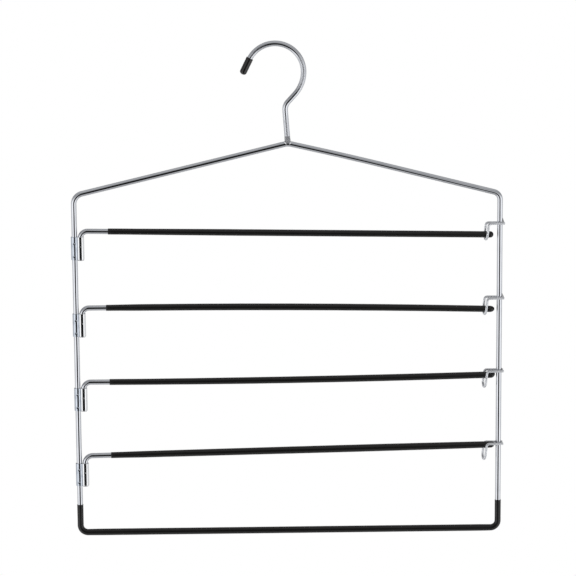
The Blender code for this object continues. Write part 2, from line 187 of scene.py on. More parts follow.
def surface(name):
    """A new material: it, its nodes to build with, and its main shader."""
    material = bpy.data.materials.new(name)
    material.use_nodes = True
    tree = material.node_tree
    return material, Shade(tree), tree.nodes["Principled BSDF"]


def connect(shader, **values):
    """Feed a shader's sockets, named with underscores for spaces."""
    for name, value in values.items():
        socket = shader.inputs[name.replace("_", " ")]
        if isinstance(value, Shade):
            value.tree.links.new(value.socket, socket)
        else:
            socket.default_value = value


print("shader sums ready")

# %% [markdown]
# ## Straightened coordinates
# Marks on drawn wire run along it, round every bend. Object coordinates would cut across the bends,
# and an unwrapped map has a seam. So every swept mesh carries, at each point, where that point would
# be if its wire were pulled straight: the distance along, then the place across. Noise that reads
# those coordinates follows the wire and closes round it without a seam.

# %% Noise along a wire
GRAIN = "grain"


def straightened(shade):
    """Where a point would be if its wire were pulled straight."""
    return shade.node("ShaderNodeAttribute", {"attribute_name": GRAIN}, {}, "Vector")


def distance_along(shade, axis="X"):
    """One of the straightened coordinates. The first is the distance along the wire."""
    return shade.node("ShaderNodeSeparateXYZ", {}, {0: straightened(shade)}, axis)


def along_wire(shade, length, width, detail):
    """Noise with marks of a given length along the wire and width across it, in metres."""
    sizes = (1 / length, 1 / width, 1 / width)
    values = {0: straightened(shade), 1: sizes}
    scaled = shade.node("ShaderNodeVectorMath", {"operation": "MULTIPLY"}, values)
    values = {"Vector": scaled, "Scale": 1.0, "Detail": detail}
    return shade.node("ShaderNodeTexNoise", {}, values)


def relief(shade, height, depth):
    """A normal from a height between 0 and 1 and its depth in metres."""
    values = {"Strength": 1.0, "Distance": depth, "Height": height}
    return shade.node("ShaderNodeBump", {}, values)


print("noise reads the attribute", GRAIN)

# %% [markdown]
# ## Bright chrome on drawn wire
# Chromium reflects a little over half of the light, so chrome is a grey mirror and owes its look to
# what stands round it. Up close it isn't perfect: the die leaves hair lines along the wire, the
# plating clouds a little, and hands leave a haze. Each is a noise of its own size that moves the
# roughness, the colour or the relief by a small amount. The thin rests are satin, because small parts
# are plated in a drum, where they rub together, and they are painted paler than the other chrome: a
# painted highlight. The hook's gloss changes along it: the rail keeps the crown of its crook bright,
# and the flank and the stem, where fingers take hold, have gone dull.

# %% Chrome
CHROME_BRIGHT = (0.598, 0.613, 0.648, 1)
CHROME_CLOUDED = (0.543, 0.558, 0.593, 1)
# The rests' two colours are lifted above the chrome's: a painted highlight
SATIN_PAINTED_HIGHLIGHT = (0.725, 0.74, 0.77, 1)
SATIN_CLOUDED_PAINTED_HIGHLIGHT = (0.66, 0.675, 0.705, 1)
BURNT_LIGHT = (0.60, 0.61, 0.63, 1)
BURNT_DARK = (0.34, 0.345, 0.36, 1)
# Marks: length along the wire, width across it, and detail
DIE_LINES = (14 * MM, 0.16 * MM, 3.0)
CLOUDS = (9 * MM, 5 * MM, 2.0)
HAND_MARKS = (26 * MM, 12 * MM, 4.0)
PEEL = (1.6 * MM, 0.9 * MM, 0.0)
MOTTLE = (0.9 * MM, 0.7 * MM, 3.0)
# Spans of a noise over which a mask goes from 0 to 1
LINE_SPAN = (0.55, 0.75)
CLOUD_SPAN = (0.35, 0.75)
HAND_SPAN = (0.52, 0.70)
MOTTLE_SPAN = (0.3, 0.7)
LINE_ROUGH, BURNT_ROUGH = 0.05, 0.40
LINE_SHARE, PEEL_SHARE = 0.5, 0.5
BURNT_BLEND, BURNT_WANDER = 0.7 * MM, 1.2 * MM
WIRE_RELIEF = 0.004 * MM
BURNT_RELIEF = 30.0
NOISE_MIDDLE = 0.5


def chrome(name, gloss=0.05, haze=0.07, bright=CHROME_BRIGHT, clouded=CHROME_CLOUDED, changes=(),
           burnt_from=None):
    """Plated wire. gloss is the roughness where it is clean. Each change has two distances along the
    wire, in metres, and the gloss that is reached. Past burnt_from welding left it grey and rough."""
    material, shade, shader = surface(name)
    for start, end, reached in changes:
        gloss = gloss + distance_along(shade).between(start, end) * (reached - gloss)
    die_lines = along_wire(shade, *DIE_LINES)
    clouds = along_wire(shade, *CLOUDS)
    hands = along_wire(shade, *HAND_MARKS).between(*HAND_SPAN)
    peel = along_wire(shade, *PEEL)
    roughness = gloss + haze * hands * die_lines + LINE_ROUGH * die_lines.between(*LINE_SPAN)
    colour = clouds.between(*CLOUD_SPAN).mix(bright, clouded)
    height = LINE_SHARE * die_lines + PEEL_SHARE * peel
    if burnt_from:
        mottle = along_wire(shade, *MOTTLE)
        edge = distance_along(shade) + BURNT_WANDER * (mottle - NOISE_MIDDLE)
        burnt = edge.between(burnt_from, burnt_from + BURNT_BLEND)
        colour = burnt.mix(colour, mottle.between(*MOTTLE_SPAN).mix(BURNT_DARK, BURNT_LIGHT))
        roughness = roughness + BURNT_ROUGH * burnt
        height = height + BURNT_RELIEF * burnt * mottle
    connect(shader, Base_Color=colour, Metallic=1.0, Roughness=roughness,
            Normal=relief(shade, height, WIRE_RELIEF))
    return material


LOOP_CHROME = chrome("loop_chrome")
ARM_CHROME = chrome("arm_chrome", haze=0.10)
# The rests are painted paler than the other chrome: a painted highlight
REST_CHROME = chrome("rest_chrome", gloss=0.42, bright=SATIN_PAINTED_HIGHLIGHT, clouded=SATIN_CLOUDED_PAINTED_HIGHLIGHT)
print("bright wire:", LOOP_CHROME.name, ARM_CHROME.name, REST_CHROME.name)

# %% [markdown]
# ## Rolled strip and weld metal
# The hinges are thin strip, plated after rolling. The strip is a little bluer and duller than the
# wire, and its rolling marks run upright, along the barrels. The pin's barrel, which a press closed,
# is painted brighter: a painted highlight. Weld metal was molten: it is lumpy under the same plating,
# so it takes coarse noise for its relief. It is dark where the rests sit on the side wire. The fins
# beside them are painted paler and the beads along the foot of the hook bright, as painted highlights.

# %% Strip and weld
STRIP_BRIGHT = (0.50, 0.54, 0.60, 1)
STRIP_DULL = (0.38, 0.415, 0.47, 1)
# The pin's barrel is painted this brighter colour: a painted highlight
STRIP_PAINTED_HIGHLIGHT = (0.76, 0.77, 0.785, 1)
ROLLING = (9 * MM, 0.22 * MM, 3.0)
STRIP_CLOUDS = (5 * MM, 2.5 * MM, 2.0)
ROLLING_SPAN = (0.45, 0.75)
PRESS_EDGE = 0.5 * MM
STRIP_GLOSS, ROLLING_ROUGH = 0.09, 0.12
STRIP_RELIEF = 0.006 * MM
WELD_LIGHT = (0.50, 0.51, 0.52, 1)
WELD_DARK = (0.27, 0.275, 0.285, 1)
# The fins are painted paler than the weld metal: a painted highlight
FIN_PAINTED_LIGHT = (0.70, 0.71, 0.72, 1)
FIN_DARK = (0.45, 0.455, 0.465, 1)
# The hook's beads are painted bright: a painted highlight
BEAD_PAINTED_HIGHLIGHT = (0.90, 0.905, 0.92, 1)
BEAD_SHADE = (0.72, 0.73, 0.75, 1)
LUMPS = (0.7 * MM, 0.5 * MM, 3.0)
LUMP_SPAN = (0.35, 0.65)
HOLLOW_ROUGH, LUMP_SMOOTH = 0.34, 0.14
WELD_RELIEF = 0.05 * MM


def strip(name, highlight_from, highlight_to):
    """Rolled strip. Between two distances along its plan, in metres, it gets a painted highlight."""
    material, shade, shader = surface(name)
    rolling = along_wire(shade, *ROLLING)
    clouds = along_wire(shade, *STRIP_CLOUDS)
    place = distance_along(shade, "Y")
    # Over the pin's barrel the strip gets a painted highlight
    pressed = place.between(highlight_from, highlight_from + PRESS_EDGE)
    pressed = pressed * (1 - place.between(highlight_to - PRESS_EDGE, highlight_to))
    rolled = clouds.between(*CLOUD_SPAN).mix(STRIP_BRIGHT, STRIP_DULL)
    colour = pressed.mix(rolled, STRIP_PAINTED_HIGHLIGHT)
    roughness = STRIP_GLOSS + ROLLING_ROUGH * rolling.between(*ROLLING_SPAN)
    connect(shader, Base_Color=colour, Metallic=1.0, Roughness=roughness,
            Normal=relief(shade, rolling, STRIP_RELIEF))
    return material


def weld(name, dark, light):
    """Metal that was molten: darker and rougher in the hollows between its lumps."""
    material, shade, shader = surface(name)
    lumps = along_wire(shade, *LUMPS)
    colour = lumps.between(*LUMP_SPAN).mix(dark, light)
    connect(shader, Base_Color=colour, Metallic=1.0, Roughness=HOLLOW_ROUGH - LUMP_SMOOTH * lumps,
            Normal=relief(shade, lumps, WELD_RELIEF))
    return material


WELD_METAL = weld("weld_metal", WELD_DARK, WELD_LIGHT)
# A paler copy of weld metal for the fins: a painted highlight
FIN_METAL_PAINTED_LIGHT = weld("fin_metal_painted_light", FIN_DARK, FIN_PAINTED_LIGHT)
# A bright copy of weld metal for the hook's beads: a painted highlight
BEAD_METAL_PAINTED_HIGHLIGHT = weld("bead_metal_painted_highlight", BEAD_SHADE, BEAD_PAINTED_HIGHLIGHT)
print("weld metals:", WELD_METAL.name, FIN_METAL_PAINTED_LIGHT.name, BEAD_METAL_PAINTED_HIGHLIGHT.name)

# %% [markdown]
# ## Dipped black vinyl
# The bars wear soft vinyl so that cloth grips. It is nearly black and satin, with a fine pebbled
# skin, faint streaks along the bar from dipping, and a few grey dust specks. Its upper side is
# rubbed smoother by trousers, which a mask on the surface's own upward direction can say, because
# the arms only ever turn about upright pins.

# %% Vinyl
VINYL_DEEP = (0.0068, 0.0066, 0.0066, 1)
VINYL_STREAK = (0.0105, 0.0100, 0.0097, 1)
VINYL_DUST = (0.045, 0.043, 0.041, 1)
PEBBLES = (0.24 * MM, 0.20 * MM, 2.0)
STREAKS = (30 * MM, 0.9 * MM, 3.0)
DUST = (0.42 * MM, 0.35 * MM, 1.0)
STREAK_SPAN = (0.40, 0.70)
DUST_SPAN = (0.75, 0.82)
UPWARD_SPAN = (0.3, 1.0)
DUST_COVER = 0.5
PEBBLE_ROUGH, RUBBED_SMOOTH, DUST_ROUGH = 0.14, 0.08, 0.12
PEBBLE_RELIEF = 0.005 * MM


def vinyl(name, satin=0.20, shine=0.34):
    """Dipped vinyl: satin is its least roughness, shine the strength of its highlights."""
    material, shade, shader = surface(name)
    pebbles = along_wire(shade, *PEBBLES)
    streaks = along_wire(shade, *STREAKS)
    dust = along_wire(shade, *DUST).between(*DUST_SPAN)
    facing = shade.node("ShaderNodeNewGeometry", {}, {}, "Normal")
    upward = shade.node("ShaderNodeSeparateXYZ", {}, {0: facing}, "Z").between(*UPWARD_SPAN)
    base = streaks.between(*STREAK_SPAN).mix(VINYL_DEEP, VINYL_STREAK)
    colour = (DUST_COVER * dust).mix(base, VINYL_DUST)
    roughness = satin + PEBBLE_ROUGH * pebbles - RUBBED_SMOOTH * upward + DUST_ROUGH * dust
    connect(shader, Base_Color=colour, Roughness=roughness, Specular_IOR_Level=shine,
            Normal=relief(shade, pebbles, PEBBLE_RELIEF))
    return material


ARM_VINYL = vinyl("arm_vinyl")
BAR_VINYL = vinyl("bottom_vinyl")
CAP_VINYL = vinyl("cap_vinyl", satin=0.10, shine=0.50)
print("vinyl:", ARM_VINYL.name, BAR_VINYL.name, CAP_VINYL.name)

# %% [markdown]
# ## Bent routes
# Wire goods are straight runs joined by bends, so a route is a list of corners and a bend radius at
# each. A curve object with a round bevel would also draw a wire, but it can't swell into a foot, round
# off a cut end or hold a bore. A route and a list of radii along it can do all of these.

# %% Routes
BEND_STEP = radians(4)
LEAST_STEPS = 8
SAME_PLACE = 1e-9
RING_GAP = 1e-7


def bent(corners, radii):
    """Points of a route: each corner between its ends is rounded by its own bend."""
    route = [corners[0].copy()]
    for index in range(1, len(corners) - 1):
        corner = corners[index]
        back = (corners[index - 1] - corner).normalized()
        ahead = (corners[index + 1] - corner).normalized()
        half = back.angle(ahead) / 2
        centre = corner + (back + ahead).normalized() * (radii[index] / sin(half))
        spoke = corner + back * (radii[index] / tan(half)) - centre
        steps = max(LEAST_STEPS, ceil((pi - 2 * half) / BEND_STEP))
        for step in range(steps + 1):
            turn = Matrix.Rotation((pi - 2 * half) * step / steps, 3, ahead.cross(back))
            route.append(centre + turn @ spoke)
    return route + [corners[-1].copy()]


class Line:
    """A route that gives the place, direction and untwisted side at any distance along it."""

    def __init__(self, route, side):
        self.route = route
        self.runs = [(b - a).normalized() for a, b in zip(route, route[1:])]
        self.along = [0.0]
        for a, b in zip(route, route[1:]):
            self.along.append(self.along[-1] + (b - a).length)
        self.length = self.along[-1]
        self.sides = [(side - self.runs[0] * side.dot(self.runs[0])).normalized()]
        for before, after in zip(self.runs, self.runs[1:]):
            self.sides.append(before.rotation_difference(after) @ self.sides[-1])

    def at(self, s):
        """Place, direction and side at a distance along the route."""
        index = max(k for k, start in enumerate(self.along[:-1]) if start <= s + SAME_PLACE)
        point = self.route[index] + self.runs[index] * (s - self.along[index])
        ahead = self.runs[index]
        if abs(s - self.along[index]) < SAME_PLACE and index > 0:
            ahead = (self.runs[index - 1] + ahead).normalized()
        side = self.sides[index]
        return point, ahead, (side - ahead * side.dot(ahead)).normalized()

    def filled(self, profile):
        """The profile's (distance, radius) pairs, with the route's own points put between."""
        pairs = [profile[0]]
        for (start, first), (end, second) in zip(profile, profile[1:]):
            low, high = sorted((start, end))
            between = [s for s in self.along if low + RING_GAP < s < high - RING_GAP]
            for s in between if end > start else reversed(between):
                pairs.append((s, first + (second - first) * (s - start) / (end - start)))
            pairs.append((end, second))
        return pairs


print("bends are drawn in steps of", round(degrees(BEND_STEP), 1), "degrees")

# %% [markdown]
# ## Skinning a route
# A ring of points is laid round the route at each distance of a profile, and neighbouring rings are
# joined by quads. A profile that starts and ends at radius 0 makes a closed rod, one that returns along
# its bore makes a sleeve. An optional shape function moves single points, which gives dips, drips and
# welds their unevenness. Each point also keeps its straightened place for the finishes above.

# %% Skins
SIDES = 32
CREASE = radians(50)
EDGE_STEPS = 4
END_PAIRS = EDGE_STEPS + 2


def mesh_object(name, points, faces, grain, material):
    """A smooth mesh with its straightened coordinates, sharp only where it is creased."""
    mesh = bpy.data.meshes.new(name)
    mesh.from_pydata(points, [], faces)
    layer = mesh.attributes.new(GRAIN, "FLOAT_VECTOR", "POINT")
    layer.data.foreach_set("vector", [x for place in grain for x in place])
    mesh.materials.append(material)
    mesh.shade_smooth()
    mesh.set_sharp_from_angle(angle=CREASE)
    piece = bpy.data.objects.new(name, mesh)
    bpy.context.scene.collection.objects.link(piece)
    return piece


def skin(name, route, profile, material, side=ACROSS, sides=SIDES, ring_shut=False, shape=None):
    """Sweep (distance, radius) pairs along a route. ring_shut joins the last ring to the first."""
    line = Line(route, side)
    points, grain, faces, rings = [], [], [], []
    for s, radius in line.filled(profile):
        centre, ahead, across = line.at(s)
        up = ahead.cross(across)
        ring = []
        for k in range(sides if radius > 0 else 1):
            angle = 2 * pi * k / sides
            spoke = across * cos(angle) + up * sin(angle)
            ring.append(len(points))
            point = centre + spoke * radius
            points.append(shape(s, spoke, radius, point) if shape else point)
            grain.append((s, radius * cos(angle), radius * sin(angle)))
        rings.append(ring)
    pairs = list(zip(rings, rings[1:]))
    if ring_shut:
        pairs.append((rings[-1], rings[0]))
    for first, second in pairs:
        for k in range(max(len(first), len(second))):
            n = (k + 1) % max(len(first), len(second))
            corners = [first[k % len(first)], first[n % len(first)],
                       second[n % len(second)], second[k % len(second)]]
            faces.append(list(dict.fromkeys(corners)))
    return mesh_object(name, points, faces, grain, material)


def rounding(radius, edge):
    """(inset, radius) pairs over a rounded edge, from the cut face to the full radius."""
    turns = [pi / 2 * k / EDGE_STEPS for k in range(EDGE_STEPS, -1, -1)]
    return [(edge * (1 - sin(t)), radius - edge * (1 - cos(t))) for t in turns]


def rounded(start, end, radius, edge):
    """Profile of a rod whose cut ends are rounded off, with END_PAIRS pairs for each end."""
    arc = rounding(radius, edge)
    head = [(start + s, r) for s, r in arc]
    tail = [(end - s, r) for s, r in reversed(arc)]
    return [(start, 0)] + head + tail + [(end, 0)]


print("rings of", SIDES, "points")

# %% [markdown]
# ## The loop
# One wire is bent at the bottom corners, the shoulders and the peak, and its ends meet at a butt weld
# in the middle of the bottom bar, out of sight under the vinyl. The route starts and ends there, as
# the real wire does, so no closed ring is needed.

# %% Loop wire
PEAK_SHIFT, PEAK_DROP = 0.9 * MM, 82.85 * MM
LEFT_FALL, RIGHT_FALL = 43.3 * MM, 44.75 * MM
PEAK = Vector((MIDDLE_X + PEAK_SHIFT, 0, -PEAK_DROP))
LEFT_SHOULDER = Vector((LEFT_X, 0, PEAK.z - LEFT_FALL))
RIGHT_SHOULDER = Vector((RIGHT_X, 0, PEAK.z - RIGHT_FALL))
PEAK_BEND = 12 * MM
LEFT_SHOULDER_BEND, RIGHT_SHOULDER_BEND = 9 * MM, 7 * MM
BOTTOM_BEND = 6.5 * MM
SLOPE_BOW = 0.8 * MM
SLOPE_BOW_PLACE = 0.28
CUT_EDGE = 0.3 * MM


def right_slope():
    """Corner and radius of the long, slight bend between the peak and the right shoulder."""
    outward = (RIGHT_SHOULDER - PEAK).cross(ACROSS).normalized()
    crown = PEAK.lerp(RIGHT_SHOULDER, SLOPE_BOW_PLACE) + outward * SLOPE_BOW
    turn = (crown - PEAK).angle(RIGHT_SHOULDER - crown)
    return crown, ((crown - PEAK).length - 2 * PEAK_BEND) / tan(turn / 2)


def make_loop():
    butt = Vector((MIDDLE_X, 0, BOTTOM_Z))
    crown, long_bend = right_slope()
    corners = [butt, Vector((RIGHT_X, 0, BOTTOM_Z)), RIGHT_SHOULDER, crown, PEAK, LEFT_SHOULDER,
               Vector((LEFT_X, 0, BOTTOM_Z)), butt]
    bends = [0, BOTTOM_BEND, RIGHT_SHOULDER_BEND, long_bend, PEAK_BEND, LEFT_SHOULDER_BEND,
             BOTTOM_BEND, 0]
    route = bent(corners, bends)
    length = Line(route, ACROSS).length
    piece = skin("loop_wire", route, rounded(0, length, LOOP_R, CUT_EDGE), LOOP_CHROME)
    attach(piece, "frame")
    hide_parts("frame_wire")
    return length


print(f"loop of {make_loop():.3f} m of wire")

# %% [markdown]
# ## The hook
# A second wire makes the tail, the crook, the neck and the stem. Its foot was pressed hot on to the
# peak: it swells a little, then narrows as it sinks into the loop, and the heat left it grey and
# mottled. Two round wires that meet like this show a V-shaped seam from the front, and it comes by
# itself where the two meshes cross.

# %% Hook wire
HOOK_R = 2.4 * MM
CROOK_INSIDE = 21.8 * MM
CROOK_R = CROOK_INSIDE + HOOK_R
WIDER_R = 28.2 * MM
CROOK_START, CROOK_END = radians(154), radians(-42.6)
TAIL = 11.6 * MM
NECK_BEND = 9.5 * MM
STEM_LEAN = radians(4.2)
FOOT_SWELL = 0.12 * MM
FOOT_HEIGHT = 6 * MM
FOOT_SHOULDER = 3 * MM
FOOT_HIDDEN = 0.15 * MM
FOOT_STEPS = 8
BURNT_HEIGHT = 6.6 * MM
TAIL_GLOSS, CROWN_GLOSS, FLANK_GLOSS, NECK_GLOSS, STEM_GLOSS = 0.27, 0.08, 0.45, 0.16, 0.42
CROWN_FROM, FLANK_FROM, NECK_FROM, STEM_FROM = 26 * MM, 56 * MM, 86 * MM, 114 * MM
GLOSS_BLEND = 11 * MM


def upright_arc(centre, radius, start, end):
    """Points of an arc in the plane of the rack, from one angle to another."""
    steps = ceil(abs(end - start) / BEND_STEP)
    angles = [start + (end - start) * k / steps for k in range(steps + 1)]
    return [centre + Vector((cos(a), 0, sin(a))) * radius for a in angles]


def hook_route():
    centre = Vector((0, 0, HOOK_R - CROOK_R))
    crook = upright_arc(centre, CROOK_R, CROOK_START, 0)
    # The lower right of the crook opens into a wider bend
    crook += upright_arc(centre + Vector((CROOK_R - WIDER_R, 0, 0)), WIDER_R, 0, CROOK_END)[1:]
    tail = crook[0] + Vector((-sin(CROOK_START), 0, cos(CROOK_START))) * TAIL
    # The neck runs on along the crook's end until it meets the leaning stem
    neck = Vector((sin(CROOK_END), 0, -cos(CROOK_END)))
    stem = Vector((-sin(STEM_LEAN), 0, cos(STEM_LEAN)))
    gap = PEAK - crook[-1]
    reach = (gap.x * stem.z - gap.z * stem.x) / (neck.x * stem.z - neck.z * stem.x)
    lower = bent([crook[-1], crook[-1] + neck * reach, PEAK], [0, NECK_BEND, 0])
    return [tail] + crook + lower[1:]


def make_hook():
    route = hook_route()
    length = Line(route, ACROSS).length
    starts = (CROWN_FROM, FLANK_FROM, NECK_FROM, STEM_FROM)
    glosses = (CROWN_GLOSS, FLANK_GLOSS, NECK_GLOSS, STEM_GLOSS)
    changes = [(start, start + GLOSS_BLEND, gloss) for start, gloss in zip(starts, glosses)]
    finish = chrome("hook_chrome", TAIL_GLOSS, changes=changes, burnt_from=length - BURNT_HEIGHT)
    rod = rounded(0, length, HOOK_R, CUT_EDGE)[:-END_PAIRS]
    shares = [k / FOOT_STEPS for k in range(FOOT_STEPS + 1)]
    foot = []
    for share in shares:
        rise = FOOT_HEIGHT + (FOOT_SHOULDER - FOOT_HEIGHT) * share
        foot.append((length - rise, HOOK_R + FOOT_SWELL * (1 - cos(pi * share)) / 2))
    # The sunk end is a little thinner than the loop, which hides it
    narrowing = HOOK_R + FOOT_SWELL - (LOOP_R - FOOT_HIDDEN)
    for share in shares[1:]:
        rise = FOOT_SHOULDER * (1 - share)
        foot.append((length - rise, HOOK_R + FOOT_SWELL - narrowing * share ** 2))
    piece = skin("hook_rod", route, rod + foot + [(length, 0)], finish)
    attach(piece, "frame")
    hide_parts("hook_wire")
    return route, length


HOOK_ROUTE, hook_length = make_hook()
print(f"hook of {hook_length / MM:.0f} mm of wire")

# %% [markdown]
# ## Vinyl over wire
# Dipped vinyl has a soft lip where it starts, walls that vary by a few hundredths, and a rounded nose
# where it closes over a cut end. The noses were left as they dripped, so no two are alike: a length and
# a lean give each one its own shape. Smooth noise along the bar moves the wall in and out.

# %% Lips, walls and noses
LIP = 0.22 * MM
UNEVEN = 0.06 * MM
WALL_STEP = 4 * MM
WOBBLE_LENGTH = 11 * MM
WOBBLE_UP, WOBBLE_BACK = 0.8, 0.5
NOSE_STEPS = 10


def lip(start, radius, bore, ahead):
    """Rounded open edge, from the bore out to the full wall. ahead is 1 or -1 along the route."""
    return [(start, bore)] + [(start + ahead * s, r) for s, r in rounding(radius, LIP)]


def stretch(start, end, radius, step=WALL_STEP):
    """Wall with enough rings for its unevenness to show. radius is a function of the distance."""
    count = max(1, round(abs(end - start) / step))
    places = [start + (end - start) * k / count for k in range(1, count + 1)]
    return [(s, radius(s)) for s in places]


def eased(share):
    """From 0 to 1 with a soft start and end, for a share held between them."""
    share = min(max(share, 0), 1)
    return share * share * (3 - 2 * share)


def uneven(seed, end=None, nose=0, lean=0):
    """Shape that thins a wall here and there, and bows a nose up or down towards its end."""
    def shape(s, spoke, radius, point):
        turn = spoke.z * WOBBLE_UP + spoke.y * WOBBLE_BACK
        wobble = noise.noise(Vector((s / WOBBLE_LENGTH, seed, turn)))
        moved = point + spoke * (UNEVEN * (wobble - 1) / 2)
        if nose and s > end - nose:
            moved += UP * (lean * ((s - end + nose) / nose) ** 2)
        return moved
    return shape


def nose_rings(end, nose, radius, blunt=1.0):
    """Rounded nose over the end of a covered wire, down to a point."""
    turns = [pi / 2 * k / NOSE_STEPS for k in range(1, NOSE_STEPS)]
    return [(end - nose + nose * sin(t), radius * cos(t) ** blunt) for t in turns] + [(end, 0)]


print("walls have a ring every", WALL_STEP / MM, "mm")

# %% [markdown]
# ## Bottom sleeve and tip cap
# The sleeve of the bottom bar turns up round both corners, and its wall is thinner near those ends. The
# cap closes over the cut end of the hook and reaches back into the start of the crook. Both are sweeps
# along the route of the wire that they cover, so they follow its bends.

# %% Bottom sleeve and tip cap
COAT_FIT = 0.12 * MM
TURN_UP_THIN = 0.22 * MM
TURN_UP_FROM, TURN_UP_RUN = 14 * MM, 30 * MM
CAP_R = half_depth("hook_tip_cap")
CAP_LENGTH = 15.2 * MM
CAP_NOSE = 2.4 * MM
CAP_PAST_WIRE = 2.2 * MM
CAP_STEP = 2 * MM
BAR_SEED, CAP_SEED = 1.5, 4.2


def bottom_sleeve():
    low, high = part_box("bottom_sleeve")
    radius = (high.y - low.y) / 2
    corners = [Vector((RIGHT_X, 0, high.z)), Vector((RIGHT_X, 0, BOTTOM_Z)),
               Vector((LEFT_X, 0, BOTTOM_Z)), Vector((LEFT_X, 0, high.z))]
    route = bent(corners, [0, BOTTOM_BEND, BOTTOM_BEND, 0])
    length = Line(route, ACROSS).length
    bore = LOOP_R + COAT_FIT

    def wall_radius(s):
        from_end = min(s, length - s)
        return radius - TURN_UP_THIN * (1 - eased((from_end - TURN_UP_FROM) / TURN_UP_RUN))

    first = lip(0, wall_radius(0), bore, 1)
    last = lip(length, wall_radius(0), bore, -1)[::-1]
    wall = stretch(first[-1][0], last[0][0], wall_radius)[:-1]
    profile = first + wall + last + [(LIP, bore)]
    piece = skin("bottom_sleeve_dipped", route, profile, BAR_VINYL,
                 ring_shut=True, shape=uneven(BAR_SEED))
    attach(piece, "frame")
    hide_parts("bottom_sleeve")
    return length


def tip_cap():
    crook_start = HOOK_ROUTE[1]
    out = (HOOK_ROUTE[0] - crook_start).normalized()
    tail = [HOOK_ROUTE[3], HOOK_ROUTE[2], crook_start, HOOK_ROUTE[0] + out * CAP_PAST_WIRE]
    end = Line(tail, ACROSS).length
    start = end - CAP_LENGTH
    bore = HOOK_R + COAT_FIT
    wall = lip(start, CAP_R, bore, 1)
    wall += stretch(wall[-1][0], end - CAP_NOSE, lambda s: CAP_R, CAP_STEP)
    profile = [(end - CAP_NOSE, 0), (end - CAP_NOSE, bore)] + wall + nose_rings(end, CAP_NOSE, CAP_R)
    piece = skin("hook_cap", tail, profile, CAP_VINYL, shape=uneven(CAP_SEED))
    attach(piece, "frame")
    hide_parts("hook_tip_cap")


print(f"bottom sleeve of {bottom_sleeve() / MM:.0f} mm")
tip_cap()
print(f"tip cap of {CAP_LENGTH / MM:.0f} mm")

# %% [markdown]
# ## The arms
# Each arm is one wire: a pin that stands in its hinge, a bend and a long bar. The pin's lower end
# is peened over so that it can't lift out. The bar's slope comes from the frame: two arms rest on the
# floor of their stirrups, and the other two ride a little higher, as in the photograph.

# %% Arm wires and their sleeves
ARM_R = 2.25 * MM
ARM_BENDS = {1: 6.0 * MM, 2: 6.0 * MM, 3: 6.3 * MM, 4: 6.6 * MM}
ARM_COVER_R = half_depth("arm_sleeve_1")
MOUTH_THIN = 0.23 * MM
MOUTH_RUNS = {1: 110 * MM, 2: 34 * MM, 3: 130 * MM, 4: 34 * MM}
TIP_THINS = {1: 0.10 * MM, 2: 0.10 * MM, 3: 0.02 * MM, 4: 0}
# Height of a sleeve's swell, and how far it is skewed to the tip
SWELLS = {1: (0, 1), 2: (0.12 * MM, 1), 3: (0.12 * MM, 2), 4: (0.33 * MM, 1.5)}
BOWS = {2: 1.4 * MM, 3: -1.2 * MM}
HEAD_HEIGHT, HEAD_SPREAD, HEAD_TAPER = 0.4 * MM, 0.5 * MM, 0.25 * MM
HEAD_ROUND = 0.7
HEAD_STEPS = 8
PUNCH_DEPTH, PUNCH_SHARE = 0.12 * MM, 0.6
# Length and upward lean of each nose, in millimetres
NOSES = {1: (2.7, 0.0), 2: (4.2, 0.1), 3: (3.6, 0.7), 4: (3.4, 0.5)}
NOSE_BLUNT = 0.9
ARM_SEED = 7.3


def make_arm(tier):
    body = f"arm_{tier}"
    hinge = HINGES[body]
    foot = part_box(f"arm_wire_{tier}")[0].z
    along = (BAR_ENDS[tier] - hinge).normalized()
    tip = hinge + along * ((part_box(f"arm_sleeve_{tier}")[1].x - hinge.x) / along.x)
    elbow = ARM_BENDS[tier]
    corners, bends = [Vector((hinge.x, 0, foot)), hinge, tip], [0, elbow, 0]
    if tier in BOWS:
        # A bar that was bent in use: one long bend from near the elbow to near the tip
        span = (tip - hinge).length / 2
        corners.insert(2, (hinge + tip) / 2 + UP * 2 * BOWS[tier])
        bends.insert(2, (span - 2 * elbow) * span / abs(2 * BOWS[tier]))
    route = bent(corners, bends)
    length = Line(route, ACROSS).length
    wire_end = length - (tip - BAR_ENDS[tier]).length

    # The punch that peened the head left a shallow ring in it
    head = [(0, 0), (PUNCH_DEPTH, ARM_R * PUNCH_SHARE)]
    for share in (k / HEAD_STEPS for k in range(HEAD_STEPS + 1)):
        bulge = HEAD_SPREAD * sin(pi * share) ** HEAD_ROUND
        head.append((HEAD_HEIGHT * share, ARM_R + bulge - HEAD_TAPER * (1 - share)))
    rod = rounded(0, wire_end, ARM_R, CUT_EDGE)[END_PAIRS:]
    wire = skin(f"swing_wire_{tier}", route, head + rod, ARM_CHROME)
    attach(wire, body)
    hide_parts(f"arm_wire_{tier}")

    nose, lean = (x * MM for x in NOSES[tier])
    start = length - (tip.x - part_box(f"arm_sleeve_{tier}")[0].x) / along.x
    bore = ARM_R + COAT_FIT

    def wall_radius(s):
        share = (s - start) / (length - start)
        thin = MOUTH_THIN * (1 - eased((s - start) / MOUTH_RUNS[tier])) + TIP_THINS[tier] * share ** 3
        swell, skew = SWELLS[tier]
        return ARM_COVER_R - thin + swell * sin(pi * share ** skew)

    wall = lip(start, wall_radius(start), bore, 1)
    wall += stretch(wall[-1][0], length - nose, wall_radius)
    profile = [(wire_end, 0), (wire_end, bore)] + wall
    profile += nose_rings(length, nose, wall[-1][1], NOSE_BLUNT)
    cover = skin(f"swing_sleeve_{tier}", route, profile, ARM_VINYL,
                 shape=uneven(tier * ARM_SEED, length, nose, lean))
    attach(cover, body)
    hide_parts(f"arm_sleeve_{tier}")
    return length


print("arms of", [round(make_arm(tier) / MM, 1) for tier in TIERS], "mm")

